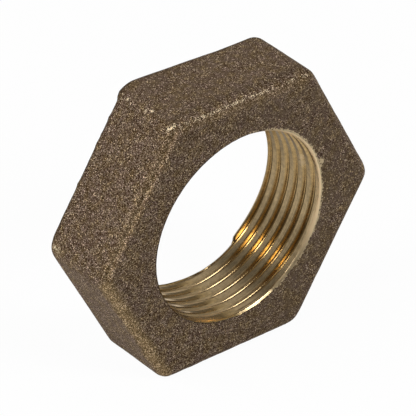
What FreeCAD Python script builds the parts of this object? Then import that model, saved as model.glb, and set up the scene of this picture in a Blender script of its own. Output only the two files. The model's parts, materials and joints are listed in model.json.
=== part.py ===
import FreeCAD, Part
import math
import os
import Sketcher

# Hexagon nut that holds a handwheel on its threaded spindle sleeve: one bronze sand casting,
# bored and threaded right through, with its outside left as cast.
# The thread axis runs along Y through the origin, halfway between the two faces.
# The seat face looks to +Y and the front face to -Y. +Z is up and the nut stands on a flat.

# Driving sizes in millimetres
SIZES = {
    "across_flats": 46.0,      # spanner size, from one flat to the opposite one
    "thickness": 13.0,         # front face to seat face
    "corner_radius": 4.0,      # cast rounding of the six corners between the flats
    "front_edge_radius": 2.0,  # full cast rounding where the flats meet the front face
    "seat_edge_radius": 0.4,   # slight rounding where the flats meet the seat face
    "core_diameter": 31.8,     # bore before threading, the core of the M33 x 2 thread
    "front_lead_in": 0.35,     # 45 degree chamfer at the front mouth of the bore
    "seat_lead_in": 0.7,       # 45 degree chamfer at the seat mouth of the bore
}

SIDES = 6
SIDE_ANGLE = 2.0 * math.pi / SIDES
BOTTOM_SIDE = 4
TOP_SIDE = 1

# The two faces, by the side of the mid plane that they are on
FRONT = -1
SEAT = 1

# Lengths and offsets below this count as nothing
TOLERANCE = 1e-6


def make_sheet(doc):
    """The sheet of driving sizes, one named cell each."""
    sheet = doc.addObject("Spreadsheet::Sheet", "sizes")
    for row, (name, value) in enumerate(SIZES.items(), start=1):
        sheet.set(f"A{row}", name)
        sheet.set(f"B{row}", str(value))
        sheet.setAlias(f"B{row}", name)
    doc.recompute()
    return sheet


def new_sketch(body, name):
    """An empty sketch halfway through the nut, square to the thread axis."""
    sketch = body.newObject("Sketcher::SketchObject", name)
    plane = next(item for item in body.Origin.OriginFeatures if item.Role == "XZ_Plane")
    sketch.AttachmentSupport = [(plane, "")]
    sketch.MapMode = "FlatFace"
    return sketch


def bind(sketch, constraint, name, expression):
    """Adds a size to a sketch and ties it to the sheet."""
    index = sketch.addConstraint(constraint)
    sketch.renameConstraint(index, name)
    sketch.setExpression(f"Constraints.{name}", expression)


def draw_hexagon(body, sheet):
    """A regular hexagon round the origin, with one flat at the bottom and one at the top."""
    sketch = new_sketch(body, "hexagon")
    radius = sheet.across_flats / 2.0 / math.cos(SIDE_ANGLE / 2.0)
    corners = []
    for side in range(SIDES):
        angle = side * SIDE_ANGLE
        corners.append(FreeCAD.Vector(radius * math.cos(angle), radius * math.sin(angle), 0.0))
    for side in range(SIDES):
        sketch.addGeometry(Part.LineSegment(corners[side], corners[(side + 1) % SIDES]), False)
    circle = sketch.addGeometry(Part.Circle(FreeCAD.Vector(), FreeCAD.Vector(0, 0, 1), radius), True)
    sketch.addConstraint(Sketcher.Constraint("Coincident", circle, 3, -1, 1))
    for side in range(SIDES):
        sketch.addConstraint(Sketcher.Constraint("Coincident", side, 2, (side + 1) % SIDES, 1))
        sketch.addConstraint(Sketcher.Constraint("PointOnObject", side, 1, circle))
    for side in range(1, SIDES):
        sketch.addConstraint(Sketcher.Constraint("Equal", 0, side))
    sketch.addConstraint(Sketcher.Constraint("Horizontal", BOTTOM_SIDE))
    height = Sketcher.Constraint("DistanceY", BOTTOM_SIDE, 1, TOP_SIDE, 1, sheet.across_flats)
    bind(sketch, height, "across_flats", "sizes.across_flats")
    return sketch


def draw_bore(body, sheet):
    """The circle of the thread's core."""
    sketch = new_sketch(body, "bore_circle")
    radius = sheet.core_diameter / 2.0
    circle = sketch.addGeometry(Part.Circle(FreeCAD.Vector(), FreeCAD.Vector(0, 0, 1), radius), False)
    sketch.addConstraint(Sketcher.Constraint("Coincident", circle, 3, -1, 1))
    diameter = Sketcher.Constraint("Diameter", circle, sheet.core_diameter)
    bind(sketch, diameter, "core_diameter", "sizes.core_diameter")
    return sketch


def pad_blank(body, sketch):
    """The hexagon at its full thickness, half of it on each side of the sketch."""
    pad = body.newObject("PartDesign::Pad", "blank")
    pad.Profile = sketch
    pad.SideType = "Symmetric"
    pad.setExpression("Length", "sizes.thickness")
    body.Document.recompute()
    return pad


def edge_names(feature, wanted):
    """Names of the edges of a feature that a test picks out."""
    edges = feature.Shape.Edges
    return [f"Edge{number}" for number, edge in enumerate(edges, start=1) if wanted(edge)]


def runs_along_axis(edge):
    """True for an edge between two flats, which runs along the thread axis."""
    return edge.BoundBox.YLength > TOLERANCE and edge.BoundBox.XLength + edge.BoundBox.ZLength < TOLERANCE


def lies_in_face(edge, side):
    """True for an edge that lies in the front or the seat face."""
    return edge.BoundBox.YLength < TOLERANCE and edge.BoundBox.Center.y * side > 0.0


def is_mouth(edge, side):
    """True for the bore's rim on the front or the seat face."""
    if not lies_in_face(edge, side) or not isinstance(edge.Curve, Part.Circle):
        return False
    centre = edge.Curve.Center
    return math.hypot(centre.x, centre.z) < TOLERANCE


def add_fillet(body, name, base, wanted, size):
    """Rounds the picked edges of the last feature."""
    fillet = body.newObject("PartDesign::Fillet", name)
    fillet.Base = (base, edge_names(base, wanted))
    fillet.setExpression("Radius", f"sizes.{size}")
    body.Document.recompute()
    return fillet


def round_face(body, name, base, side, size):
    """Rounds the whole outer edge of the front or the seat face."""
    return add_fillet(body, name, base, lambda edge: lies_in_face(edge, side), size)


def cut_bore(body, base, sketch):
    """Bores the nut right through, and makes sure that the cut took the core away."""
    pocket = body.newObject("PartDesign::Pocket", "bore")
    pocket.Profile = sketch
    pocket.SideType = "Symmetric"
    pocket.Type = "ThroughAll"
    body.Document.recompute()
    core_area = Part.Face(Part.Wire(sketch.Shape.Edges)).Area
    core = core_area * base.Shape.BoundBox.YLength
    removed = base.Shape.Volume - pocket.Shape.Volume
    if abs(removed - core) > 1e-4 * core:
        raise RuntimeError(f"the bore took away {removed:.1f} of {core:.1f} cubic millimetres")
    return pocket


def add_lead_in(body, name, base, side, size):
    """Chamfers one mouth of the bore."""
    chamfer = body.newObject("PartDesign::Chamfer", name)
    chamfer.Base = (base, edge_names(base, lambda edge: is_mouth(edge, side)))
    chamfer.setExpression("Size", f"sizes.{size}")
    body.Document.recompute()
    return chamfer


def make_nut(doc, sheet):
    """The whole nut as one body."""
    body = doc.addObject("PartDesign::Body", "handwheel_nut")
    body.Label = "handwheel_nut"
    blank = pad_blank(body, draw_hexagon(body, sheet))
    corners = add_fillet(body, "corner_rounds", blank, runs_along_axis, "corner_radius")
    front_rounds = round_face(body, "front_rounds", corners, FRONT, "front_edge_radius")
    seat_rounds = round_face(body, "seat_rounds", front_rounds, SEAT, "seat_edge_radius")
    bore = cut_bore(body, seat_rounds, draw_bore(body, sheet))
    front_mouth = add_lead_in(body, "front_mouth", bore, FRONT, "front_lead_in")
    add_lead_in(body, "seat_mouth", front_mouth, SEAT, "seat_lead_in")
    doc.recompute()
    return body


def check(doc, body):
    """Stops if any feature failed or the nut isn't one sound solid."""
    for item in doc.Objects:
        if "Invalid" in item.State or "Error" in item.State:
            raise RuntimeError(f"{item.Label} failed: {item.State}")
    shape = body.Shape
    if shape.isNull() or not shape.isValid() or len(shape.Solids) != 1:
        raise RuntimeError(f"{body.Label} is not one valid solid")


def main():
    doc = FreeCAD.newDocument("handwheel_nut")
    body = make_nut(doc, make_sheet(doc))
    check(doc, body)
    os.makedirs("parts", exist_ok=True)
    body.Shape.exportStep(f"parts/{body.Label}.step")
    box = body.Shape.optimalBoundingBox(False)
    print(f"{body.Label}: {box.XLength:.2f} x {box.YLength:.2f} x {box.ZLength:.2f} mm,",
          f"{body.Shape.Volume:.1f} cubic millimetres, {len(body.Shape.Faces)} faces")


main()
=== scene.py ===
import json
import math

import bpy
import numpy as np
from mathutils import Matrix, Vector, noise


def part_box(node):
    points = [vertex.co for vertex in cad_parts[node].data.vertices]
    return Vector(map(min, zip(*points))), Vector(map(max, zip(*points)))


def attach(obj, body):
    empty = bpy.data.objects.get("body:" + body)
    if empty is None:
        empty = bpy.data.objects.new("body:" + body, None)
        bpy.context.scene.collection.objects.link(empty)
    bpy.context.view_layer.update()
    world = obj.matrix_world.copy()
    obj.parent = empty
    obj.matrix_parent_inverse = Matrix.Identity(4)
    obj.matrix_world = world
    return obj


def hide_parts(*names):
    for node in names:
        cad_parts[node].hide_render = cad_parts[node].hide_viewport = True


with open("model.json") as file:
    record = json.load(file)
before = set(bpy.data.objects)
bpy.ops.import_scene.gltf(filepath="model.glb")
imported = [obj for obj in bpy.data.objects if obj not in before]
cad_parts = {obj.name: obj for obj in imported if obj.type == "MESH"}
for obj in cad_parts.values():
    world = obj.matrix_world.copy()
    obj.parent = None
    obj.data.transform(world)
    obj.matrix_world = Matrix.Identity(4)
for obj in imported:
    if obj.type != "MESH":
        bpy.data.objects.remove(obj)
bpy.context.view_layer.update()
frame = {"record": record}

# Lengths in this script are millimetres, unless a name ends in _M or _m. Blender gets metres.
MM = 0.001
QUARTER_TURN = math.pi / 2.0
ROUNDING = 1e-9

NODE = "handwheel_nut"
low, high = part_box(NODE)
ACROSS_FLATS = (high.z - low.z) / MM
THICKNESS = (high.y - low.y) / MM
WIDTH = (high.x - low.x) / MM
THREAD_MOUNT = next(mount for mount in frame["record"]["mounts"] if mount["name"] == "thread")

# The rounded hexagon: the width over two corners gives the corner radius.
SIDES = 6
SECTOR = 2.0 * math.pi / SIDES
CORNER_STRETCH = 1.0 / math.cos(SECTOR / 2.0)
CORNER_RADIUS = (ACROSS_FLATS * CORNER_STRETCH - WIDTH) / (2.0 * (CORNER_STRETCH - 1.0))
CORNER_CENTRE = (ACROSS_FLATS / 2.0 - CORNER_RADIUS) * CORNER_STRETCH
FRONT_EDGE_RADIUS = 2.0
SEAT_EDGE_RADIUS = 0.4

# The bore and its right-hand thread, M33 x 2, with the place of a crest
CORE_RADIUS = THREAD_MOUNT["dims"]["r_mm"]
ROOT_RADIUS = 16.55
THREAD_HEIGHT = ROOT_RADIUS - CORE_RADIUS
PITCH = 2.0
FLANK_ANGLE = math.radians(30.0)
ROOT_ROUND = 0.366
ROOT_WIDTH = 2.0 * ROOT_ROUND * math.tan(FLANK_ANGLE)
CREST_DEPTH = 0.87
CREST_ANGLE = math.radians(-36.0)

# The tables of pairs below give values at some angles round the bore, in degrees from +X towards +Z.

# How far from the front face and from the seat the thread starts to run out, and over which length
FRONT_RUN_OUT = ((-180, 0.9), (-92, 0.9), (-86, 0.45), (60, 0.45), (100, 0.9))
SEAT_RUN_OUT = ((-110, 1.0), (-84, 1.0), (-64, -0.5), (60, -0.5))
RUN_OUT_LENGTH = 0.5

# Share of the thread's depth that is left: at the bottom left it is worn.
THREAD_LEFT = ((-180, 0.6), (-98, 0.6), (-86, 1.0), (60, 1.0), (100, 0.6))

# The front mouth: radius, slope, how ragged its edge is, and the size of these rags
FRONT_MOUTH = (
    (-160, 16.25), (-150, 15.98), (-115, 16.0), (-92, 16.05), (-88, 16.25), (-66, 16.25), (-60, 16.17),
    (-50, 16.17), (-35, 16.22), (-12, 16.22), (-2, 16.12), (18, 16.12), (28, 16.24), (60, 16.24),
)
FRONT_SLOPE = ((-95, 1.0), (-88, 1.25), (-67, 1.25), (-60, 0.75), (-52, 0.95), (-30, 0.85), (60, 0.85))
FRONT_RAGGED = ((-92, 0.04), (-62, 0.04), (-50, 0.12), (40, 0.16), (60, 0.05))
FRONT_RAG_SIZE = 0.6

# The mouth in the seat, which is broken out at the bottom right
SEAT_MOUTH = (
    (-95, 16.53), (-85, 16.7), (-75, 16.96), (-65, 17.16), (-54.5, 17.2), (-52, 16.75), (-50.5, 16.3),
    (-47, 16.28), (-34, 16.3), (-20, 16.46), (-10, 16.54), (0, 16.59), (6, 16.68), (20, 16.68),
)
SEAT_RAGGED = ((-56, 0.03), (-50, 0.09), (-38, 0.09), (-34, 0.03))
SEAT_RAG_SIZE = 0.9
SEAT_RIM_NOTES = {"mouth": 0.5, "golden": 1.0}

# How pale the front mouth is, partly bright cut metal and partly a painted reflection, how far that fades
# into the thread, and how far their border is rounded
MOUTH_PALE = ((-150, 0.0), (-66, 0.0), (-56, 0.3), (-40, 0.45), (-22, 1.0), (60, 1.0), (90, 0.0))
MOUTH_FADE = ((-60, 0.15), (-35, 0.2), (-22, 0.5), (-5, 0.15), (60, 0.12))
MOUTH_SOFT = 0.03

# How pale the front face is beside the mouth, with the same painted reflection, and the way over which that
# falls by 1
RIM_PALE = 0.6
RIM_FADE = 0.3

# Darker colour at the bottom of the thread's roots and how deep it reaches, and pale roots, a painted
# highlight, with their share of the thread's depth
ROOT_DARK = ((-43, 0.0), (-33, 0.65), (-22, 0.7), (-12, 0.9), (25, 0.9), (50, 0.0))
ROOT_DARK_DEPTH = 0.13
ROOT_PAINTED_HIGHLIGHT = ((-140, 0.0), (-120, 0.65), (-98, 0.65), (-86, 0.2), (-78, 0.0))
ROOT_SHARE = 1.0 / 3.0

# Golden tint on the thread's crests and in its grooves, partly the metal's colour and partly a painted
# reflection, and the share of its depth from one to the other
CREST_GOLD_TINT = ((-180, 0.9), (-95, 0.9), (-84, 0.0), (-10, 0.0), (20, 0.4), (100, 0.75))
GROOVE_GOLD_TINT = ((-180, 0.3), (-70, 0.1), (-58, 0.9), (-36, 0.9), (-25, 0.7), (30, 0.5), (100, 0.3))
CREST_SHARE = 0.2

# Pale spots in the bore: angle in degrees, depth and size
PALE_SPOTS = ((13, 3.9, 0.5), (17, 3.85, 0.5), (27, 3.4, 0.45), (31, 3.2, 0.4))
SPOT_PALE = 0.8

# Fractal noise: how fast finer octaves fall off, and how much finer each one is
NOISE_FALL = 1.0
NOISE_STEP = 2.0

# Mesh density: columns run round the nut, rows run over its section.
CREST_STEPS = 3
FLANK_SHARE = 1.0 / 3.0
ROOT_STEPS = 5
BORE_COLUMNS = 192
SKIN_PER_BORE = 3
SKIN_COLUMNS = BORE_COLUMNS * SKIN_PER_BORE
FRONT_ROWS = 34
FRONT_ROUND_ROWS = 12
FLAT_ROWS = 42
SEAT_ROUND_ROWS = 3
SEAT_ROWS = 12
SHARP_ANGLE = math.radians(50.0)

# The row of the skin in the middle of the front edge's rounding
RIDGE_ROW = FRONT_ROWS - 1 + FRONT_ROUND_ROWS // 2

# The first column lies on the middle of the upper left flat.
FIRST_ANGLE = math.radians(150.0)

# Numbers of the two materials on the mesh
SKIN = 0
THREAD = 1

# Noted at the points: rubbed bright with painted glints and highlights, golden, smooth, painted light and
# shade, on the front face, on a mouth, darker at the roots
NOTES = ("wear_and_glint", "golden", "smooth", "painted_shading", "front", "mouth", "root_dark")

# Directions that the sides of the nut face, in degrees: start, end and how soft these limits are
TOP = (55.0, 122.0, 12.0)
UPPER_LEFT = (126.0, 176.0, 12.0)
LOWER_LEFT = (184.0, 244.0, 16.0)

# Corners and the middle of a flat, by the direction in degrees
TOP_LEFT_CORNER = 120.0
LEFT_CORNER = 180.0
UPPER_LEFT_FLAT = 150.0

# Bands along the front edge: their middle, as a way from the ridge row to the seat, width and strength
# The top ridge's bright band is partly rubbed metal and partly a painted highlight on the rounded edge.
TOP_RUB_AND_HIGHLIGHT = (-0.14, 0.31, 1.0)
TOP_GOLD = (-0.9, 0.6, 0.45)
TOP_SHADE = (1.3, 0.9, 0.22)
UPPER_LEFT_GOLD = (0.1, 0.8, 0.8)
# Along the upper left edge run a painted highlight and a painted shade.
UPPER_LEFT_PAINTED_HIGHLIGHT = (-0.5, 0.3, 0.45)
UPPER_LEFT_PAINTED_SHADE = (0.15, 0.33, 0.4)
LOWER_LEFT_GOLD = (-0.2, 0.9, 1.8)

# The gold on the upper left fades from full to a share between two heights.
GOLD_HEIGHTS = (-2.0, 4.4)
GOLD_SHARES = (1.0, 0.6)

# Painted glints on the top left corner: the direction that it faces there in degrees, depth and size
GLINTS = (
    (130, 1.3, 0.33), (136, 1.45, 0.25), (122, 1.15, 0.3),
    (125, 5.85, 0.2), (130, 6.85, 0.15), (131, 10.75, 0.22),
)
GLINT_RUB = 4.0

# A rubbed place on the left corner near the seat, partly a painted highlight: direction in degrees, depth
# and size
WORN_HIGHLIGHT_DIRECTION = 178.0
WORN_HIGHLIGHT_DEPTH = 11.6
WORN_HIGHLIGHT_SIZE = 1.1
WORN_HIGHLIGHT_RUB = 1.2
WORN_HIGHLIGHT_GOLD = 0.8

# Where the front face ends, as a way from the ridge row, over which way it does, and how light it is
# painted: darker, as painted shade
FRONT_END = 0.2
FRONT_FADE = 1.2
FRONT_PAINTED_SHADE = 0.80

# The front face is smoother on the right: how smooth it is between two places across
FRONT_SMOOTH_ACROSS = (-8.0, 8.0)
FRONT_SMOOTH = (0.1, 1.0)

# Smooth sides, and sides painted lighter as painted light: strength, then start, end and softness of the
# directions that they face
SMOOTH_SIDES = ((0.75, 50.0, 128.0, 6.0), (0.5, 186.0, 240.0, 20.0))
PAINTED_LIGHT_SIDES = ((0.12, 126.0, 184.0, 16.0), (0.3, 184.0, 240.0, 16.0))

# Shade along the seat edge: strength and width
SEAT_SHADE = 0.5
SEAT_SHADE_WIDTH = 0.5

# A painted sheen at the top right: strength, and middle and width by direction in degrees and by depth
RIGHT_PAINTED_SHEEN = 1.6
RIGHT_PAINTED_SHEEN_FACES = (40.0, 7.0)
RIGHT_PAINTED_SHEEN_DEPTH = (9.0, 3.0)

# Unevenness of the cast skin: height, size, octaves and a shift that keeps the three apart
WAVES = (0.05, 9.0, 2, 0.0)
LUMPS = (0.03, 1.6, 2, 31.0)
GRAINS = (0.015, 0.55, 1, -17.0)

# Share of the lumps and grains that smooth skin lacks
SMOOTHED = 0.75

# The top rises to its left end at the back: height, directions, place across where it starts, length, power
RISE = 0.6
RISE_FACES = (60.0, 138.0, 20.0)
RISE_START = 4.8
RISE_LENGTH = 15.0
RISE_POWER = 1.5

# The upper left flat is slightly hollow at the back: depth and directions
HOLLOW = 0.12
HOLLOW_FACES = (142.0, 170.0, 6.0)

# Bumps at the seat edge of the upper left flat: way along it from its middle, size and height
BUMPS = ((-8.4, 0.6, 0.2), (-5.7, 0.5, 0.18), (-4.0, 0.7, 0.15), (2.6, 0.6, 0.2))

# Corners that stand out further than the others: direction in degrees and height
FULL_CORNERS = ((0, 0.22), (240, 0.25), (300, 0.12))
FULL_CORNER_WIDTH = 15.0

# How fast the unevenness starts beside the flat that the nut stands on
LEVEL_FADE = 4.0

# A burr on the front face beside the mouth, on the right
BURR_ANGLE = math.radians(20.5)
BURR_REACH = 16.75
BURR_HEIGHT = 0.25
BURR_SIZE = 0.4
BURR_PALE_SIZE = 0.5

# Colours are a grey level, or red, green and blue. Ramps are stops of a place and the colour there.
# Ranges of four numbers are the places where a change starts and ends, and the values there.

# Grains of the cast skin, from dark pits to bright facets whose brightest stops are partly painted glints:
# rough, smooth and golden skin
ROUGH_GRAINS = (
    (0.0, (0.010, 0.004, 0.001)),
    (0.3, (0.050, 0.028, 0.013)),
    (0.6, (0.115, 0.074, 0.043)),
    (0.82, (0.22, 0.16, 0.11)),
    (0.94, (0.37, 0.285, 0.20)),
    (1.0, (0.95, 0.76, 0.50)),
)
SMOOTH_GRAINS = (
    (0.0, (0.030, 0.018, 0.010)),
    (0.15, (0.080, 0.054, 0.033)),
    (0.5, (0.108, 0.074, 0.047)),
    (0.9, (0.155, 0.112, 0.074)),
    (1.0, (0.55, 0.43, 0.27)),
)
GOLDEN_GRAINS = (
    (0.0, (0.045, 0.026, 0.010)),
    (0.5, (0.165, 0.109, 0.049)),
    (0.85, (0.37, 0.257, 0.132)),
    (1.0, (0.92, 0.70, 0.43)),
)
GOLDEN_SHARE = 0.85

# Number of grains in a metre, and tints of single grains and of patches
FINE_GRAINS = 9500.0
COARSE_GRAINS = 2900.0
GRAIN_TINTS = ((0.0, (1.03, 0.99, 0.90)), (0.5, (1.0, 0.985, 1.0)), (1.0, (0.98, 0.99, 1.07)))
PATCH_TINTS = ((0.34, (1.0, 0.98, 1.08)), (0.5, 1.0), (0.66, (1.03, 1.0, 0.84)))

# Smooth noise for patches: scale and detail
TINT_CLOUD = (700.0, 2.0)
SMOOTH_CLOUD = (420.0, 3.0)
BEAD_CLOUD = (1500.0, 1.0)
WEAR_CLOUD = (1600.0, 3.0)

# Smooth skin has rough patches.
SMOOTH_PATCHES = ((0.38, 0.15), (0.52, 1.0))

# Dark pits and golden specks, partly painted glints, among the coarse grains of the front face: which
# grains, and how far they reach
PIT_GRAINS = ((0.08, 1.0), (0.16, 0.0))
PIT_REACH = ((0.2, 0.6), (0.5, 0.0))
PIT_COLOUR = (0.035, 0.024, 0.016)
SPECK_GRAINS = ((0.70, 0.0), (0.92, 1.0))
SPECK_REACH = ((0.2, 1.0), (0.5, 0.0))
SPECK_COLOURS = ((0.0, (0.36, 0.25, 0.13)), (1.0, (0.42, 0.34, 0.24)))

# The frayed edge of the front mouth
FRAYED_GRAINS = ((0.8, 0.0), (0.95, 1.0))
FRAYED_LIMIT = ((0.0, 0.0), (0.1, 1.0))
FRAYED_COLOUR = (0.42, 0.33, 0.20)

# Rubbed skin and the painted glints and highlights are bright in beads: which grains and patches, and from
# how much of that on
BEAD_GRAINS = ((0.35, 0.0), (0.7, 1.0))
BEAD_PATCHES = ((0.38, 0.1), (0.55, 1.0))
BRIGHT_FROM = (0.4, 1.0, 0.0, 1.0)
BRIGHT_COLOUR = (0.92, 0.77, 0.52)
BRIGHT_METALLIC = ((0.0, 0.0), (1.0, 0.2))
BRIGHT_ROUGHNESS = ((0.0, 0.65), (1.0, 0.38))

# The skin hardly shines.
SKIN_SPECULAR = 0.03

# Height of the bump in the materials, and its strength: by smoothness on the skin, and on the thread
BUMP_M = 0.00003
SKIN_BUMP = ((0.0, 0.8), (1.0, 0.2))
THREAD_BUMP = 0.05

# The bore's metal: scale of its tool marks, plain and gold-tinted colours, worn patches, darker roots, pale
# places
TOOL_MARKS = (60.0, 9000.0, 60.0)
TOOL_MARK_DETAIL = 2.0
PLAIN_METAL = ((0.3, (0.295, 0.215, 0.115)), (0.7, (0.395, 0.295, 0.165)))
GOLD_TINTED_METAL = ((0.3, (0.44, 0.285, 0.105)), (0.7, (0.56, 0.375, 0.15)))
WORN_METAL = ((0.3, 0.8), (0.7, 1.18))
ROOT_DARK_COLOUR = (0.05, 0.03, 0.012)
PALE_COLOUR = (0.92, 0.71, 0.43)
GOLD_TINT_ROUGHNESS = (0.4, 0.9, 0.24, 0.17)
PALE_ROUGHNESS = 0.5
PALE_METALLIC = ((0.0, 1.0), (1.0, 0.6))

# The camera: angles in degrees, lens and sensor in millimetres
AZIMUTH = -41.593
ELEVATION = 33.025
ROLL = 2.976
LENS = 359.1
SENSOR_WIDTH = 36.0
DISTANCE_M = 0.6247
CLIP_START_M = 0.01
TARGET_M = Vector((-0.00088, 0.0, 0.00044))

# The white surround, its soft light, and the room that the metal reflects: level by height and by side
WHITE = 1.0
SOFT_LIGHT = 0.3
ROOM_HEIGHT = ((0.2, 1.0), (0.45, 0.83), (0.63, 0.6), (0.76, 0.33))
ROOM_FRONT = ((0.0, 0.08), (0.15, 0.35), (0.33, 0.9), (0.5, 0.6), (0.72, 0.5))
ROOM_BACK = (0.2, 0.7, 0.7, 0.2)
FRONT_TO_BACK = (-0.4, 0.5, 0.0, 1.0)

# Soft bright places in that room: direction, and range of cosines of the angle from it
GLOWS = (
    ((0.35, 0.63, 0.69), (0.92, 1.0, 0.0, 0.65)),
    ((0.78, 0.1, 0.62), (0.9, 1.0, 0.0, 0.55)),
    ((-0.565, -0.19, 0.80), (0.955, 0.98, 0.0, 0.9)),
)

# The floor, how much of its white is shown, and ranges in metres for what the metal reflects of it, with a
# painted contact shade round the nut
FLOOR_HALF_M = 1.5
FLOOR_COLOUR = 0.85
FLOOR_SHOWN = 0.96
FLOOR_FRONT = (-0.17, -0.03, 0.0, 1.0)
FLOOR_LEVELS = ((0.0, 0.2), (0.7, 0.41), (0.87, 0.65), (1.0, 1.0))
FLOOR_NEAR = (0.03, 0.08, 0.93, 1.0)

# A painted shadow of the nut in what the metal reflects of the floor, behind it on the right: place and
# range of distances
SHADOW_PLACE_M = (0.015, 0.026, low.z)
SHADOW = (0.008, 0.022, 0.45, 1.0)

# Lamps: name, place, direction of the long side, length and width in metres, and power
LAMPS = (
    ("front", (0.198, -0.634, 0.586), (0.48, 0.165, -0.02), 0.32, 0.32, 4.0),
    ("left", (-0.53, 0.13, 0.58), (0.0, 1.0, 0.0), 0.42, 0.17, 2.9),
)


def around(pairs, angle):
    """Value at angles round the bore, between those given at some angles in degrees."""
    degrees, values = zip(*pairs)
    return np.interp(np.degrees(angle), degrees, values, period=360.0)


def bell(value, middle, width):
    """1 at the middle, falling off smoothly on both sides."""
    return np.exp(-((value - middle) / width) ** 2)


def band(value, middle, width, strength):
    """A bell with a strength."""
    return strength * bell(value, middle, width)


def spot(points, place, size):
    """1 at a place, falling off round it."""
    return np.exp(-((points - place) ** 2).sum(axis=-1) / size ** 2)


def sampled(points, size, octaves):
    """Fractal noise between about -1 and 1 at each point, with lumps of about the given size."""
    flat = points.reshape(-1, 3) / size
    values = [noise.fractal(point, NOISE_FALL, NOISE_STEP, octaves) for point in flat.tolist()]
    return np.array(values).reshape(points.shape[:-1])


def rounded_maximum(first, second, soft):
    """The larger of two values, rounded where they cross."""
    return (first + second + np.hypot(first - second, soft)) / 2.0


def outline(columns):
    """Points and outward normals (x, z) evenly spaced round the rounded hexagon."""
    half_flat = (ACROSS_FLATS / 2.0 - CORNER_RADIUS) * math.tan(SECTOR / 2.0)
    arc = CORNER_RADIUS * SECTOR
    sector_length = 2.0 * half_flat + arc
    along = np.arange(columns) * (SIDES * sector_length / columns)
    side = np.floor(along / sector_length + ROUNDING)
    rest = along - side * sector_length
    turn = np.clip((rest - half_flat) / CORNER_RADIUS, 0.0, SECTOR)
    angle = FIRST_ANGLE + side * SECTOR + turn
    normal = np.stack([np.cos(angle), np.sin(angle)], axis=1)
    tangent = np.stack([-np.sin(angle), np.cos(angle)], axis=1)
    corner = FIRST_ANGLE + side * SECTOR + SECTOR / 2.0
    centre = CORNER_CENTRE * np.stack([np.cos(corner), np.sin(corner)], axis=1)
    before = np.minimum(rest - half_flat, 0.0)
    after = np.maximum(rest - half_flat - arc, 0.0)
    point = centre + CORNER_RADIUS * normal + tangent * (before + after)[:, None]
    return point, normal


def column_angles(columns):
    """Angle of each column where it meets the bore, from +X towards +Z."""
    return FIRST_ANGLE + np.arange(columns) * (2.0 * math.pi / columns)


def directions():
    """Direction that each column of the skin faces, in degrees from 0 to 360."""
    normal = outline(SKIN_COLUMNS)[1]
    return np.degrees(np.arctan2(normal[:, 1], normal[:, 0])) % 360.0


def facing_share(start, end, soft):
    """1 for the columns that face directions from start to end, in degrees, with soft limits."""
    after = np.clip((directions() - start) / soft + 0.5, 0.0, 1.0)
    before = np.clip((end - directions()) / soft + 0.5, 0.0, 1.0)
    return after * before


def sides_share(sides):
    """Sum over some sides, each with its strength and the directions that it faces."""
    return sum(strength * facing_share(*limits) for strength, *limits in sides)


def at_depth(flat_points, depth):
    """Points (x, z) put at a depth behind the front face, as (x, y, z)."""
    y = np.full(len(flat_points), depth - THICKNESS / 2.0)
    return np.stack([flat_points[:, 0], y, flat_points[:, 1]], axis=1)


def on_cylinder(radius, angle, depth):
    """Points (x, y, z) at a radius and angle round the bore and a depth behind the front face."""
    x = radius * np.cos(angle)
    z = radius * np.sin(angle)
    return np.stack(np.broadcast_arrays(x, depth - THICKNESS / 2.0, z), axis=-1)


def on_flat(direction, along, depth):
    """Place on the flat that faces a direction, in degrees, a way along from its middle."""
    turn = math.radians(direction)
    reach = ACROSS_FLATS / 2.0
    x = reach * math.cos(turn) - along * math.sin(turn)
    z = reach * math.sin(turn) + along * math.cos(turn)
    return np.array([x, depth - THICKNESS / 2.0, z])


def on_corner(corner, direction, depth):
    """Place on a rounded corner, where its surface faces a direction. Both are in degrees."""
    x = CORNER_CENTRE * math.cos(math.radians(corner)) + CORNER_RADIUS * math.cos(math.radians(direction))
    z = CORNER_CENTRE * math.sin(math.radians(corner)) + CORNER_RADIUS * math.sin(math.radians(direction))
    return np.array([x, depth - THICKNESS / 2.0, z])


class MeshParts:
    """Points and faces of the whole nut as they are put together, with values noted at the points."""

    def __init__(self):
        self.points = []
        self.faces = []
        self.materials = []
        self.notes = {name: [] for name in NOTES}
        self.count = 0

    def add_points(self, points, notes):
        """Adds points and gives their numbers in the same arrangement."""
        shape = points.shape[:-1]
        numbers = self.count + np.arange(points[..., 0].size).reshape(shape)
        self.points.append(points.reshape(-1, 3))
        self.count += numbers.size
        for name in NOTES:
            values = np.broadcast_to(notes.get(name, 0.0), shape)
            self.notes[name].append(values.reshape(-1))
        return numbers

    def add_face(self, corners, material, flip=False):
        """Adds a face, without corners that fall together. A flipped one faces the other way."""
        if flip:
            corners = (corners[0], *corners[:0:-1])
        kept = [corner for place, corner in enumerate(corners) if corner != corners[place - 1]]
        if len(set(kept)) >= 3:
            self.faces.append(kept)
            self.materials.append(material)

    def add_grid(self, numbers, material, flip=False):
        """Adds four-sided faces between rows and columns of points."""
        for here, there in zip(numbers, numbers[1:]):
            for column in range(len(here) - 1):
                corners = (here[column], there[column], there[column + 1], here[column + 1])
                self.add_face(corners, material, flip)


def half_thread():
    """Half a pitch of the thread from a crest's middle to a root's: (way along the axis, depth) pairs."""
    slope = QUARTER_TURN - FLANK_ANGLE
    crest_end = (PITCH - ROOT_WIDTH) / 2.0 - THREAD_HEIGHT * math.tan(FLANK_ANGLE)
    root_start = (PITCH - ROOT_WIDTH) / 2.0 + ROOT_ROUND * math.tan(slope / 2.0)
    points = [(crest_end * step / CREST_STEPS, 0.0) for step in range(CREST_STEPS + 1)]
    on_flank = THREAD_HEIGHT * FLANK_SHARE
    points.append((crest_end + on_flank * math.tan(FLANK_ANGLE), on_flank))
    for step in range(ROOT_STEPS):
        turn = slope * (1.0 - step / ROOT_STEPS)
        along = root_start - ROOT_ROUND * math.sin(turn)
        points.append((along, THREAD_HEIGHT - ROOT_ROUND * (1.0 - math.cos(turn))))
    return points


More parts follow.
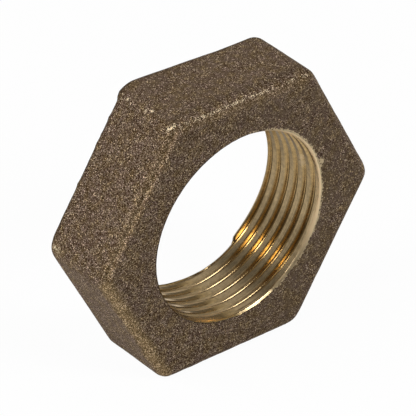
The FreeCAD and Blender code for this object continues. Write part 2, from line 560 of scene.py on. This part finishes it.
def thread_profile():
    """One pitch of the thread, from a crest's middle to the next: (way along the axis, depth) pairs."""
    half = half_thread()
    root = (PITCH / 2.0, THREAD_HEIGHT)
    mirrored = [(PITCH - along, depth) for along, depth in reversed(half[1:])]
    return np.array(half + [root] + mirrored)


def bore_rows():
    """Depth and radius of the bore's rows in each column. They follow the helix out through both faces."""
    profile = thread_profile()
    angle = column_angles(BORE_COLUMNS)
    lead = PITCH * (angle - CREST_ANGLE) / (2.0 * math.pi)
    start = CREST_DEPTH + PITCH * math.floor((lead.min() - CREST_DEPTH) / PITCH)
    turns = math.ceil((THICKNESS + lead.max() - start) / PITCH)
    along = np.concatenate([profile[:, 0] + PITCH * turn for turn in range(turns)])
    groove = np.tile(profile[:, 1], turns)
    depth = start + along[:, None] - lead
    behind_front = depth - around(FRONT_RUN_OUT, angle)
    before_seat = THICKNESS - depth - around(SEAT_RUN_OUT, angle)
    left = np.clip(behind_front / RUN_OUT_LENGTH, 0.0, 1.0) * np.clip(before_seat / RUN_OUT_LENGTH, 0.0, 1.0)
    radius = CORE_RADIUS + groove[:, None] * left * around(THREAD_LEFT, angle)
    return depth, radius, angle, len(profile)


def ragged_mouth(mouth, ragged, size, angle, depth):
    """Radius of a mouth of the bore at each angle, with its ragged edge."""
    rags = sampled(on_cylinder(CORE_RADIUS, angle, depth), size, 1)
    return around(mouth, angle) + around(ragged, angle) * rags


def rim_radius(depth, radius, at, mouth):
    """Radius of the bore's rim in one face: the lead-in, or the thread where it cuts deeper."""
    cut = [np.interp(at, depth[:, column], radius[:, column]) for column in range(BORE_COLUMNS)]
    return np.maximum(cut, mouth)


def bore_notes(radius, angle, front_cone, seat_cone):
    """Values for the material in the bore, by the thread's radius and those of the two lead-ins."""
    share = (radius - CORE_RADIUS) / THREAD_HEIGHT
    in_groove = np.clip(share / CREST_SHARE, 0.0, 1.0)
    at_root = np.clip((share / around(THREAD_LEFT, angle) - 1.0) / ROOT_SHARE + 1.0, 0.0, 1.0)
    in_root_dark = np.clip((radius - ROOT_RADIUS) / ROOT_DARK_DEPTH + 1.0, 0.0, 1.0)
    on_mouth = np.clip((front_cone - radius) / around(MOUTH_FADE, angle) + 1.0, 0.0, 1.0)
    pale = around(MOUTH_PALE, angle) * on_mouth
    # The gold tint is partly a painted reflection: warm in the grooves at the lower right, brown on the
    # lands at the lower left.
    gold_tint = around(CREST_GOLD_TINT, angle) * (1.0 - in_groove) + around(GROOVE_GOLD_TINT, angle) * in_groove
    return {
        # The pale note also carries the painted highlight on the roots at the lower left.
        "mouth": np.maximum(pale, around(ROOT_PAINTED_HIGHLIGHT, angle) * at_root),
        "golden": np.where(seat_cone > radius, 1.0, gold_tint * (1.0 - pale)),
        "root_dark": around(ROOT_DARK, angle) * in_root_dark,
    }


def pale_at_spots(points):
    """How pale points in the bore are at the pale spots."""
    pale = np.zeros(len(points))
    for angle, depth, size in PALE_SPOTS:
        place = on_cylinder(CORE_RADIUS, math.radians(angle), depth)
        pale = np.maximum(pale, SPOT_PALE * spot(points, place, size))
    return pale


def add_bore(parts):
    """The threaded bore with its two rims. Gives the numbers and radii of the rims' points."""
    depth, thread, angle, per_pitch = bore_rows()
    front_mouth = ragged_mouth(FRONT_MOUTH, FRONT_RAGGED, FRONT_RAG_SIZE, angle, 0.0)
    seat_mouth = ragged_mouth(SEAT_MOUTH, SEAT_RAGGED, SEAT_RAG_SIZE, angle, THICKNESS)
    front_radius = rim_radius(depth, thread, 0.0, front_mouth)
    seat_radius = rim_radius(depth, thread, THICKNESS, seat_mouth)
    front_notes = {"mouth": around(MOUTH_PALE, angle)}
    front_rim = parts.add_points(on_cylinder(front_radius, angle, 0.0), front_notes)
    seat_rim = parts.add_points(on_cylinder(seat_radius, angle, THICKNESS), SEAT_RIM_NOTES)
    front_cone = front_mouth - around(FRONT_SLOPE, angle) * depth
    seat_cone = seat_mouth - (THICKNESS - depth)
    radius = np.maximum(rounded_maximum(thread, front_cone, MOUTH_SOFT), seat_cone)
    inside = (depth > 0.0) & (depth < THICKNESS)
    points = on_cylinder(radius, angle, depth)[inside]
    notes = bore_notes(thread, angle, front_cone, seat_cone)
    notes = {name: values[inside] for name, values in notes.items()}
    notes["mouth"] = np.maximum(notes["mouth"], pale_at_spots(points))
    numbers = np.where(depth <= 0.0, front_rim, seat_rim)
    numbers[inside] = parts.add_points(points, notes)
    # After a turn the helix goes on a pitch further.
    wrapped = np.concatenate([np.full(per_pitch, front_rim[0]), numbers[:-per_pitch, 0]])
    numbers = np.concatenate([numbers, wrapped[:, None]], axis=1)
    parts.add_grid(numbers, THREAD, flip=True)
    return front_rim, front_radius, seat_rim, seat_radius


def rim_points(radius):
    """A rim of the bore (x, z), with as many points as the skin has columns."""
    angle = column_angles(SKIN_COLUMNS)
    column = np.arange(SKIN_COLUMNS) / SKIN_PER_BORE
    reach = np.interp(column, np.arange(BORE_COLUMNS + 1), np.append(radius, radius[0]))
    return reach[:, None] * np.stack([np.cos(angle), np.sin(angle)], axis=1)


def skin_rows(front_rim, seat_rim):
    """Rows of the cast skin from the front mouth over the flats to the seat mouth, with their normals."""
    point, normal = outline(SKIN_COLUMNS)
    out = np.stack([normal[:, 0], np.zeros(SKIN_COLUMNS), normal[:, 1]], axis=1)
    back = np.tile([0.0, 1.0, 0.0], (SKIN_COLUMNS, 1))
    rows = []
    normals = []

    def add_side(inset, depth, tilt):
        rows.append(at_depth(point - inset * normal, depth))
        normals.append(out * math.cos(tilt) + back * math.sin(tilt))

    def add_face(rim, inset, depth, share, sign):
        edge = point - inset * normal
        rows.append(at_depth(rim * (1.0 - share) + edge * share, depth))
        normals.append(back * sign)

    for row in range(1, FRONT_ROWS):
        add_face(front_rim, FRONT_EDGE_RADIUS, 0.0, row / FRONT_ROWS, -1.0)
    for row in range(FRONT_ROUND_ROWS + 1):
        turn = QUARTER_TURN * row / FRONT_ROUND_ROWS
        inset = FRONT_EDGE_RADIUS * (1.0 - math.sin(turn))
        add_side(inset, FRONT_EDGE_RADIUS * (1.0 - math.cos(turn)), turn - QUARTER_TURN)
    flat_length = THICKNESS - FRONT_EDGE_RADIUS - SEAT_EDGE_RADIUS
    for row in range(1, FLAT_ROWS):
        add_side(0.0, FRONT_EDGE_RADIUS + flat_length * row / FLAT_ROWS, 0.0)
    for row in range(SEAT_ROUND_ROWS + 1):
        turn = QUARTER_TURN * row / SEAT_ROUND_ROWS
        inset = SEAT_EDGE_RADIUS * (1.0 - math.cos(turn))
        add_side(inset, THICKNESS - SEAT_EDGE_RADIUS * (1.0 - math.sin(turn)), turn)
    for row in range(SEAT_ROWS - 1, 0, -1):
        add_face(seat_rim, SEAT_EDGE_RADIUS, THICKNESS, row / SEAT_ROWS, 1.0)
    return np.array(rows), np.array(normals)


def worn_highlight_corner(rows):
    """1 at the rubbed place on the left corner, partly a painted highlight, falling off round it."""
    return spot(rows, on_corner(LEFT_CORNER, WORN_HIGHLIGHT_DIRECTION, WORN_HIGHLIGHT_DEPTH), WORN_HIGHLIGHT_SIZE)


def burr(points, size):
    """1 at the burr, falling off round it."""
    return spot(points, on_cylinder(BURR_REACH, BURR_ANGLE, 0.0), size)


def wear_and_glint_note(rows, from_ridge):
    """Where the skin is rubbed bright, with painted highlights: on the top ridge, painted glints at its left
    end, and on the left corner.
    """
    wear_and_glint = facing_share(*TOP) * band(from_ridge, *TOP_RUB_AND_HIGHLIGHT)
    for direction, depth, size in GLINTS:
        wear_and_glint = wear_and_glint + GLINT_RUB * spot(rows, on_corner(TOP_LEFT_CORNER, direction, depth), size)
    return wear_and_glint + WORN_HIGHLIGHT_RUB * worn_highlight_corner(rows)


def golden_note(rows, from_ridge):
    """Where the skin is golden: along the front edge and on the left corner."""
    lower = np.interp(rows[..., 2], GOLD_HEIGHTS, GOLD_SHARES)
    golden = lower * facing_share(*UPPER_LEFT) * band(from_ridge, *UPPER_LEFT_GOLD)
    golden = golden + facing_share(*LOWER_LEFT) * band(from_ridge, *LOWER_LEFT_GOLD)
    golden = golden + facing_share(*TOP) * band(from_ridge, *TOP_GOLD)
    return golden + WORN_HIGHLIGHT_GOLD * worn_highlight_corner(rows)


def smooth_note(rows, from_ridge, front):
    """Where the skin is smooth: on the top, on the lower left and on the right of the front face."""
    on_side = np.clip((from_ridge - FRONT_END) / FRONT_FADE, 0.0, 1.0)
    on_front = np.interp(rows[..., 0], FRONT_SMOOTH_ACROSS, FRONT_SMOOTH)
    return on_side * sides_share(SMOOTH_SIDES) + front * on_front


def painted_shading_note(rows, from_ridge, front):
    """Painted light and shade on the skin: lighter upper and lower left sides, a darker front face, shade
    along the seat edge and behind the top ridge, a sheen at the top right, and a highlight and a shade along
    the upper left edge.
    """
    depth = rows[..., 1] + THICKNESS / 2.0
    side = 1.0 + sides_share(PAINTED_LIGHT_SIDES)
    side = side * (1.0 - SEAT_SHADE * bell(depth, THICKNESS, SEAT_SHADE_WIDTH))
    side = side * (1.0 - facing_share(*TOP) * band(from_ridge, *TOP_SHADE))
    side = side + RIGHT_PAINTED_SHEEN * bell(directions(), *RIGHT_PAINTED_SHEEN_FACES) * bell(depth, *RIGHT_PAINTED_SHEEN_DEPTH)
    painted_shading = FRONT_PAINTED_SHADE * front + side * (1.0 - front)
    lines = band(from_ridge, *UPPER_LEFT_PAINTED_HIGHLIGHT) - band(from_ridge, *UPPER_LEFT_PAINTED_SHADE)
    return painted_shading * (1.0 + facing_share(*UPPER_LEFT) * lines)


def mouth_note(rows, way):
    """Where the front face is pale: beside the mouth, partly a painted reflection, and on the burr."""
    beside = np.clip(RIM_PALE - way / RIM_FADE, 0.0, 1.0)
    return around(MOUTH_PALE, column_angles(SKIN_COLUMNS)) * beside + burr(rows, BURR_PALE_SIZE)


def skin_notes(rows):
    """Values for the material at each point of the skin."""
    steps = np.linalg.norm(np.diff(rows, axis=0), axis=2)
    way = np.concatenate([np.zeros((1, SKIN_COLUMNS)), np.cumsum(steps, axis=0)])
    from_ridge = way - way[RIDGE_ROW]
    front = np.clip((FRONT_END - from_ridge) / FRONT_FADE, 0.0, 1.0)
    return {
        "wear_and_glint": wear_and_glint_note(rows, from_ridge),
        "golden": np.clip(golden_note(rows, from_ridge), 0.0, 1.0),
        "smooth": np.clip(smooth_note(rows, from_ridge, front), 0.0, 1.0),
        "painted_shading": painted_shading_note(rows, from_ridge, front),
        "front": front,
        "mouth": np.clip(mouth_note(rows, way), 0.0, 1.0),
    }


def uneven(points, height, size, octaves, shift):
    """Noise of a height, with lumps of about the given size."""
    return height * sampled(points + shift, size, octaves)


def side_shape(points):
    """How far the sides stand out from flats and even corners."""
    backward = np.clip((points[..., 1] + THICKNESS / 2.0) / THICKNESS, 0.0, 1.0)
    leftward = np.clip((RISE_START - points[..., 0]) / RISE_LENGTH, 0.0, 1.0)
    shape = RISE * leftward * backward ** RISE_POWER * facing_share(*RISE_FACES)
    shape = shape - HOLLOW * backward * facing_share(*HOLLOW_FACES)
    for along, size, height in BUMPS:
        place = on_flat(UPPER_LEFT_FLAT, along, THICKNESS - SEAT_EDGE_RADIUS)
        shape = shape + height * spot(points, place, size)
    for corner, height in FULL_CORNERS:
        turned = (directions() - corner + 180.0) % 360.0 - 180.0
        shape = shape + height * bell(turned, 0.0, FULL_CORNER_WIDTH)
    return shape


def relief(points, normals, notes):
    """How far the cast skin stands out from the nominal shape."""
    rough = 1.0 - SMOOTHED * notes["smooth"]
    skin = uneven(points, *WAVES) + rough * (uneven(points, *LUMPS) + uneven(points, *GRAINS))
    on_side = np.hypot(normals[..., 0], normals[..., 2])
    # The flat that it stands on stays level.
    level = np.clip(LEVEL_FADE * (1.0 + normals[..., 2]), 0.0, 1.0)
    return level * (skin + side_shape(points) * on_side) + BURR_HEIGHT * burr(points, BURR_SIZE)


def join_rim(parts, rim, row, flip=False):
    """Faces between a rim and the row of the skin beside it, three of its columns to one of the bore's."""
    for column in range(BORE_COLUMNS):
        here = rim[column]
        there = rim[(column + 1) % BORE_COLUMNS]
        start = column * SKIN_PER_BORE
        a, b, c, d = row[start:start + SKIN_PER_BORE + 1]
        for corners in ((here, a, b), (here, b, there), (there, b, c), (there, c, d)):
            parts.add_face(corners, SKIN, flip)


def add_skin(parts, front_rim, front_radius, seat_rim, seat_radius):
    """The cast skin, joined to both rims of the bore."""
    rows, normals = skin_rows(rim_points(front_radius), rim_points(seat_radius))
    notes = skin_notes(rows)
    numbers = parts.add_points(rows + normals * relief(rows, normals, notes)[..., None], notes)
    numbers = np.concatenate([numbers, numbers[:, :1]], axis=1)
    parts.add_grid(numbers, SKIN)
    join_rim(parts, front_rim, numbers[0])
    join_rim(parts, seat_rim, numbers[-1], flip=True)


def add_object(name, data):
    """An object in the scene."""
    added = bpy.data.objects.new(name, data)
    bpy.context.scene.collection.objects.link(added)
    return added


def build_nut():
    """The nut as one closed mesh."""
    parts = MeshParts()
    add_skin(parts, *add_bore(parts))
    mesh = bpy.data.meshes.new("cast_nut")
    mesh.from_pydata(np.concatenate(parts.points) * MM, [], parts.faces)
    mesh.materials.append(cast_skin())
    mesh.materials.append(thread_brass())
    mesh.polygons.foreach_set("material_index", parts.materials)
    mesh.polygons.foreach_set("use_smooth", np.ones(len(parts.faces), dtype=bool))
    mesh.set_sharp_from_angle(angle=SHARP_ANGLE)
    for name in NOTES:
        note = mesh.attributes.new(name, "FLOAT", "POINT")
        note.data.foreach_set("value", np.concatenate(parts.notes[name]))
    mesh.update()
    return add_object("cast_nut", mesh)


def rgba(colour):
    """A colour with full opacity."""
    if isinstance(colour, float):
        colour = (colour, colour, colour)
    return (*colour, 1.0)


def set_inputs(tree, node, inputs):
    """Sets inputs of a node, each to a value or to another node's output."""
    for name, value in inputs.items():
        socket = node.inputs[name]
        if isinstance(value, bpy.types.NodeSocket):
            tree.links.new(value, socket)
        elif socket.type == "RGBA":
            socket.default_value = rgba(value)
        else:
            socket.default_value = value


def add_node(tree, kind, inputs=None, **settings):
    """A shader node with its settings and its inputs."""
    node = tree.nodes.new(kind)
    for name, value in settings.items():
        setattr(node, name, value)
    set_inputs(tree, node, inputs or {})
    return node


def mixed(tree, factor, first, second, blend="MIX"):
    """Colour between two others."""
    inputs = {0: factor, 6: first, 7: second}
    return add_node(tree, "ShaderNodeMix", inputs, data_type="RGBA", blend_type=blend).outputs[2]


def ramp(tree, value, stops):
    """Value turned into a colour by a ramp."""
    node = add_node(tree, "ShaderNodeValToRGB", {"Fac": value})
    elements = node.color_ramp.elements
    while len(elements) < len(stops):
        elements.new(1.0)
    for element, (place, colour) in zip(elements, stops):
        element.position = place
        element.color = rgba(colour)
    return node.outputs["Color"]


def between(tree, value, start, end, first, last):
    """Value from first to last as another goes from start to end."""
    inputs = {"Value": value, "From Min": start, "From Max": end, "To Min": first, "To Max": last}
    return add_node(tree, "ShaderNodeMapRange", inputs).outputs[0]


def calculated(tree, operation, first, second):
    """Result of an operation on two values or outputs."""
    return add_node(tree, "ShaderNodeMath", {0: first, 1: second}, operation=operation).outputs[0]


def product(tree, first, second):
    """Product of two values or outputs."""
    return calculated(tree, "MULTIPLY", first, second)


def measured(tree, operation, inputs):
    """Number that comes from an operation on vectors."""
    return add_node(tree, "ShaderNodeVectorMath", inputs, operation=operation).outputs["Value"]


def noted(tree, name):
    """A value noted at the mesh's points."""
    return add_node(tree, "ShaderNodeAttribute", attribute_name=name).outputs["Fac"]


def cells(tree, place, scale):
    """Random grains: two random values for each, and the distance from its middle."""
    node = add_node(tree, "ShaderNodeTexVoronoi", {"Vector": place, "Scale": scale})
    split = add_node(tree, "ShaderNodeSeparateColor", {0: node.outputs["Color"]})
    return split.outputs[0], split.outputs[1], node.outputs["Distance"]


def cloud(tree, place, scale, detail):
    """Smooth noise between 0 and 1."""
    inputs = {"Vector": place, "Scale": scale, "Detail": detail}
    return add_node(tree, "ShaderNodeTexNoise", inputs).outputs["Fac"]


def ray_kinds(tree):
    """Whether a ray comes from the camera, also through glass, and whether it comes from a reflection."""
    path = add_node(tree, "ShaderNodeLightPath")
    seen = calculated(tree, "MAXIMUM", path.outputs["Is Camera Ray"], path.outputs["Is Transmission Ray"])
    return seen, path.outputs["Is Glossy Ray"]


def empty_tree(owner):
    """Node tree of a material or a world, without its first nodes."""
    owner.use_nodes = True
    owner.node_tree.nodes.clear()
    return owner.node_tree


def new_metal(name):
    """A material with its node tree and its shader."""
    material = bpy.data.materials.new(name)
    tree = empty_tree(material)
    shader = add_node(tree, "ShaderNodeBsdfPrincipled")
    add_node(tree, "ShaderNodeOutputMaterial", {"Surface": shader.outputs[0]})
    return material, tree, shader


def sand_colour(tree, place, smooth, shade, hue):
    """Colour of the grains that the sand left, by each one's random shade and hue."""
    colour = mixed(tree, smooth, ramp(tree, shade, ROUGH_GRAINS), ramp(tree, shade, SMOOTH_GRAINS))
    colour = mixed(tree, 1.0, colour, ramp(tree, hue, GRAIN_TINTS), "MULTIPLY")
    patch = cloud(tree, place, *TINT_CLOUD)
    return mixed(tree, 1.0, colour, ramp(tree, patch, PATCH_TINTS), "MULTIPLY")


def front_colour(tree, colour, shade, hue, reach):
    """Colour with the larger dark pits and golden specks of the front face."""
    front = noted(tree, "front")
    pit = product(tree, ramp(tree, shade, PIT_GRAINS), ramp(tree, reach, PIT_REACH))
    colour = mixed(tree, product(tree, pit, front), colour, PIT_COLOUR)
    speck = product(tree, ramp(tree, shade, SPECK_GRAINS), ramp(tree, reach, SPECK_REACH))
    return mixed(tree, product(tree, speck, front), colour, ramp(tree, hue, SPECK_COLOURS))


def frayed_edge(tree, shade):
    """Share of the front mouth's pale edge, frayed along the grains."""
    mouth = noted(tree, "mouth")
    frayed = ramp(tree, calculated(tree, "ADD", mouth, shade), FRAYED_GRAINS)
    return product(tree, frayed, ramp(tree, mouth, FRAYED_LIMIT))


def bright_beads(tree, place, shade):
    """Share of the bright metal where the skin is rubbed and where glints and highlights are painted, in
    beads along the grains.
    """
    patch = cloud(tree, place, *BEAD_CLOUD)
    beads = product(tree, ramp(tree, shade, BEAD_GRAINS), ramp(tree, patch, BEAD_PATCHES))
    return between(tree, product(tree, noted(tree, "wear_and_glint"), beads), *BRIGHT_FROM)


def cast_skin():
    """Sand-cast bronze, dark brown, with golden specks and dark pits, and with painted light, shade, glints
    and highlights.
    """
    material, tree, shader = new_metal("cast_skin")
    place = add_node(tree, "ShaderNodeTexCoord").outputs["Object"]
    fine, fine_hue, fine_reach = cells(tree, place, FINE_GRAINS)
    coarse, coarse_hue, coarse_reach = cells(tree, place, COARSE_GRAINS)
    patches = ramp(tree, cloud(tree, place, *SMOOTH_CLOUD), SMOOTH_PATCHES)
    smooth = product(tree, noted(tree, "smooth"), patches)
    colour = sand_colour(tree, place, smooth, fine, fine_hue)
    colour = front_colour(tree, colour, coarse, coarse_hue, coarse_reach)
    golden = product(tree, noted(tree, "golden"), GOLDEN_SHARE)
    colour = mixed(tree, golden, colour, ramp(tree, fine, GOLDEN_GRAINS))
    # The painted light and shade of the sides multiply the colour.
    colour = mixed(tree, 1.0, colour, noted(tree, "painted_shading"), "MULTIPLY")
    colour = mixed(tree, frayed_edge(tree, coarse), colour, FRAYED_COLOUR)
    # Rubbed metal and painted glints and highlights, bright in beads.
    bright = bright_beads(tree, place, fine)
    strength = ramp(tree, smooth, SKIN_BUMP)
    bump = add_node(tree, "ShaderNodeBump", {"Height": fine_reach, "Strength": strength, "Distance": BUMP_M})
    set_inputs(tree, shader, {
        "Base Color": mixed(tree, bright, colour, BRIGHT_COLOUR),
        "Metallic": ramp(tree, bright, BRIGHT_METALLIC),
        "Roughness": ramp(tree, bright, BRIGHT_ROUGHNESS),
        "Normal": bump.outputs["Normal"],
        "Specular IOR Level": SKIN_SPECULAR,
    })
    return material


def thread_brass():
    """Machined bronze of the bore, with fine tool marks round it."""
    material, tree, shader = new_metal("thread_brass")
    place = add_node(tree, "ShaderNodeTexCoord").outputs["Object"]
    golden = noted(tree, "golden")
    mouth = noted(tree, "mouth")
    stretched = add_node(tree, "ShaderNodeMapping", {"Vector": place, "Scale": TOOL_MARKS}).outputs[0]
    marks = cloud(tree, stretched, 1.0, TOOL_MARK_DETAIL)
    colour = mixed(tree, golden, ramp(tree, marks, PLAIN_METAL), ramp(tree, marks, GOLD_TINTED_METAL))
    worn = ramp(tree, cloud(tree, place, *WEAR_CLOUD), WORN_METAL)
    colour = mixed(tree, 1.0, colour, worn, "MULTIPLY")
    colour = mixed(tree, noted(tree, "root_dark"), colour, ROOT_DARK_COLOUR)
    bump = add_node(tree, "ShaderNodeBump", {"Height": marks, "Strength": THREAD_BUMP, "Distance": BUMP_M})
    set_inputs(tree, shader, {
        "Base Color": mixed(tree, mouth, colour, PALE_COLOUR),
        "Metallic": ramp(tree, mouth, PALE_METALLIC),
        "Roughness": mixed(tree, mouth, between(tree, golden, *GOLD_TINT_ROUGHNESS), PALE_ROUGHNESS),
        "Normal": bump.outputs["Normal"],
    })
    return material


def placed(place_m, right, up, back):
    """Matrix of a thing at a place, turned to three directions."""
    return Matrix.Translation(place_m) @ Matrix((right, up, back)).transposed().to_4x4()


def add_camera():
    """The camera at the viewing angle, a long lens with a slight roll."""
    azimuth = math.radians(AZIMUTH)
    elevation = math.radians(ELEVATION)
    roll = math.radians(ROLL)
    reach = math.cos(elevation)
    level = Vector((math.cos(azimuth), math.sin(azimuth), 0.0))
    back = Vector((math.sin(azimuth) * reach, -math.cos(azimuth) * reach, math.sin(elevation)))
    upright = back.cross(level)
    right = level * math.cos(roll) + upright * math.sin(roll)
    up = upright * math.cos(roll) - level * math.sin(roll)
    data = bpy.data.cameras.new("camera")
    data.lens = LENS
    data.sensor_width = SENSOR_WIDTH
    data.clip_start = CLIP_START_M
    camera = add_object("camera", data)
    camera.matrix_world = placed(TARGET_M + back * DISTANCE_M, right, up, back)
    bpy.context.scene.camera = camera


def add_lamp(name, place_m, along, length_m, width_m, power):
    """A soft rectangular lamp that faces the nut, with its long side along a direction."""
    data = bpy.data.lights.new(name, "AREA")
    data.shape = "RECTANGLE"
    data.size = length_m
    data.size_y = width_m
    data.energy = power
    back = Vector(place_m).normalized()
    right = (Vector(along) - back * back.dot(Vector(along))).normalized()
    add_object(name, data).matrix_world = placed(place_m, right, back.cross(right), back)


def reflected_room(tree):
    """Level of the room that the metal reflects: darker above and at the sides, with soft bright places."""
    direction = add_node(tree, "ShaderNodeTexCoord").outputs["Generated"]
    split = add_node(tree, "ShaderNodeSeparateXYZ", {0: direction})
    front = ramp(tree, split.outputs["X"], ROOM_FRONT)
    back = between(tree, split.outputs["X"], *ROOM_BACK)
    level = mixed(tree, between(tree, split.outputs["Y"], *FRONT_TO_BACK), front, back)
    room = mixed(tree, 1.0, ramp(tree, split.outputs["Z"], ROOM_HEIGHT), level, "MULTIPLY")
    for middle, levels in GLOWS:
        toward = measured(tree, "DOT_PRODUCT", {0: direction, 1: middle})
        room = mixed(tree, 1.0, room, between(tree, toward, *levels), "ADD")
    return room


def add_world():
    """A white surround that gives soft light, and that the metal reflects as a room."""
    world = bpy.data.worlds.new("surround")
    tree = empty_tree(world)
    seen, glossy = ray_kinds(tree)
    room = add_node(tree, "ShaderNodeBackground", {"Color": reflected_room(tree), "Strength": 1.0})
    light = add_node(tree, "ShaderNodeBackground", {"Color": WHITE, "Strength": SOFT_LIGHT})
    white = add_node(tree, "ShaderNodeBackground", {"Color": WHITE, "Strength": 1.0})
    unseen = add_node(tree, "ShaderNodeMixShader", {0: glossy, 1: light.outputs[0], 2: room.outputs[0]})
    shown = add_node(tree, "ShaderNodeMixShader", {0: seen, 1: unseen.outputs[0], 2: white.outputs[0]})
    add_node(tree, "ShaderNodeOutputWorld", {"Surface": shown.outputs[0]})
    bpy.context.scene.world = world


def reflected_floor(tree):
    """Level of the floor that the metal reflects: white about the nut, darker in front, with a painted shade
    next to it and a painted shadow behind it.
    """
    place = add_node(tree, "ShaderNodeNewGeometry").outputs["Position"]
    split = add_node(tree, "ShaderNodeSeparateXYZ", {0: place})
    level = ramp(tree, between(tree, split.outputs["Y"], *FLOOR_FRONT), FLOOR_LEVELS)
    from_nut = measured(tree, "LENGTH", {0: place})
    level = product(tree, level, between(tree, from_nut, *FLOOR_NEAR))
    from_shadow = measured(tree, "DISTANCE", {0: place, 1: SHADOW_PLACE_M})
    return product(tree, level, between(tree, from_shadow, *SHADOW))


def floor_white():
    """White that still takes the nut's soft shadow."""
    material = bpy.data.materials.new("floor_white")
    tree = empty_tree(material)
    seen, glossy = ray_kinds(tree)
    matt = add_node(tree, "ShaderNodeBsdfDiffuse", {"Color": FLOOR_COLOUR})
    level = calculated(tree, "MAXIMUM", seen, reflected_floor(tree))
    white = add_node(tree, "ShaderNodeEmission", {"Strength": level})
    share = product(tree, calculated(tree, "MAXIMUM", seen, glossy), FLOOR_SHOWN)
    shown = add_node(tree, "ShaderNodeMixShader", {0: share, 1: matt.outputs[0], 2: white.outputs[0]})
    add_node(tree, "ShaderNodeOutputMaterial", {"Surface": shown.outputs[0]})
    return material


def add_floor():
    """A pale floor under the nut."""
    half = FLOOR_HALF_M
    corners = [(x, y, low.z) for x, y in ((-half, -half), (half, -half), (half, half), (-half, half))]
    mesh = bpy.data.meshes.new("floor")
    mesh.from_pydata(corners, [], [(0, 1, 2, 3)])
    mesh.materials.append(floor_white())
    floor = add_object("floor", mesh)


nut = build_nut()
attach(nut, "root")
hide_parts(NODE)
add_camera()
add_world()
add_floor()
for lamp in LAMPS:
    add_lamp(*lamp)
bpy.context.scene.view_settings.view_transform = "Standard"
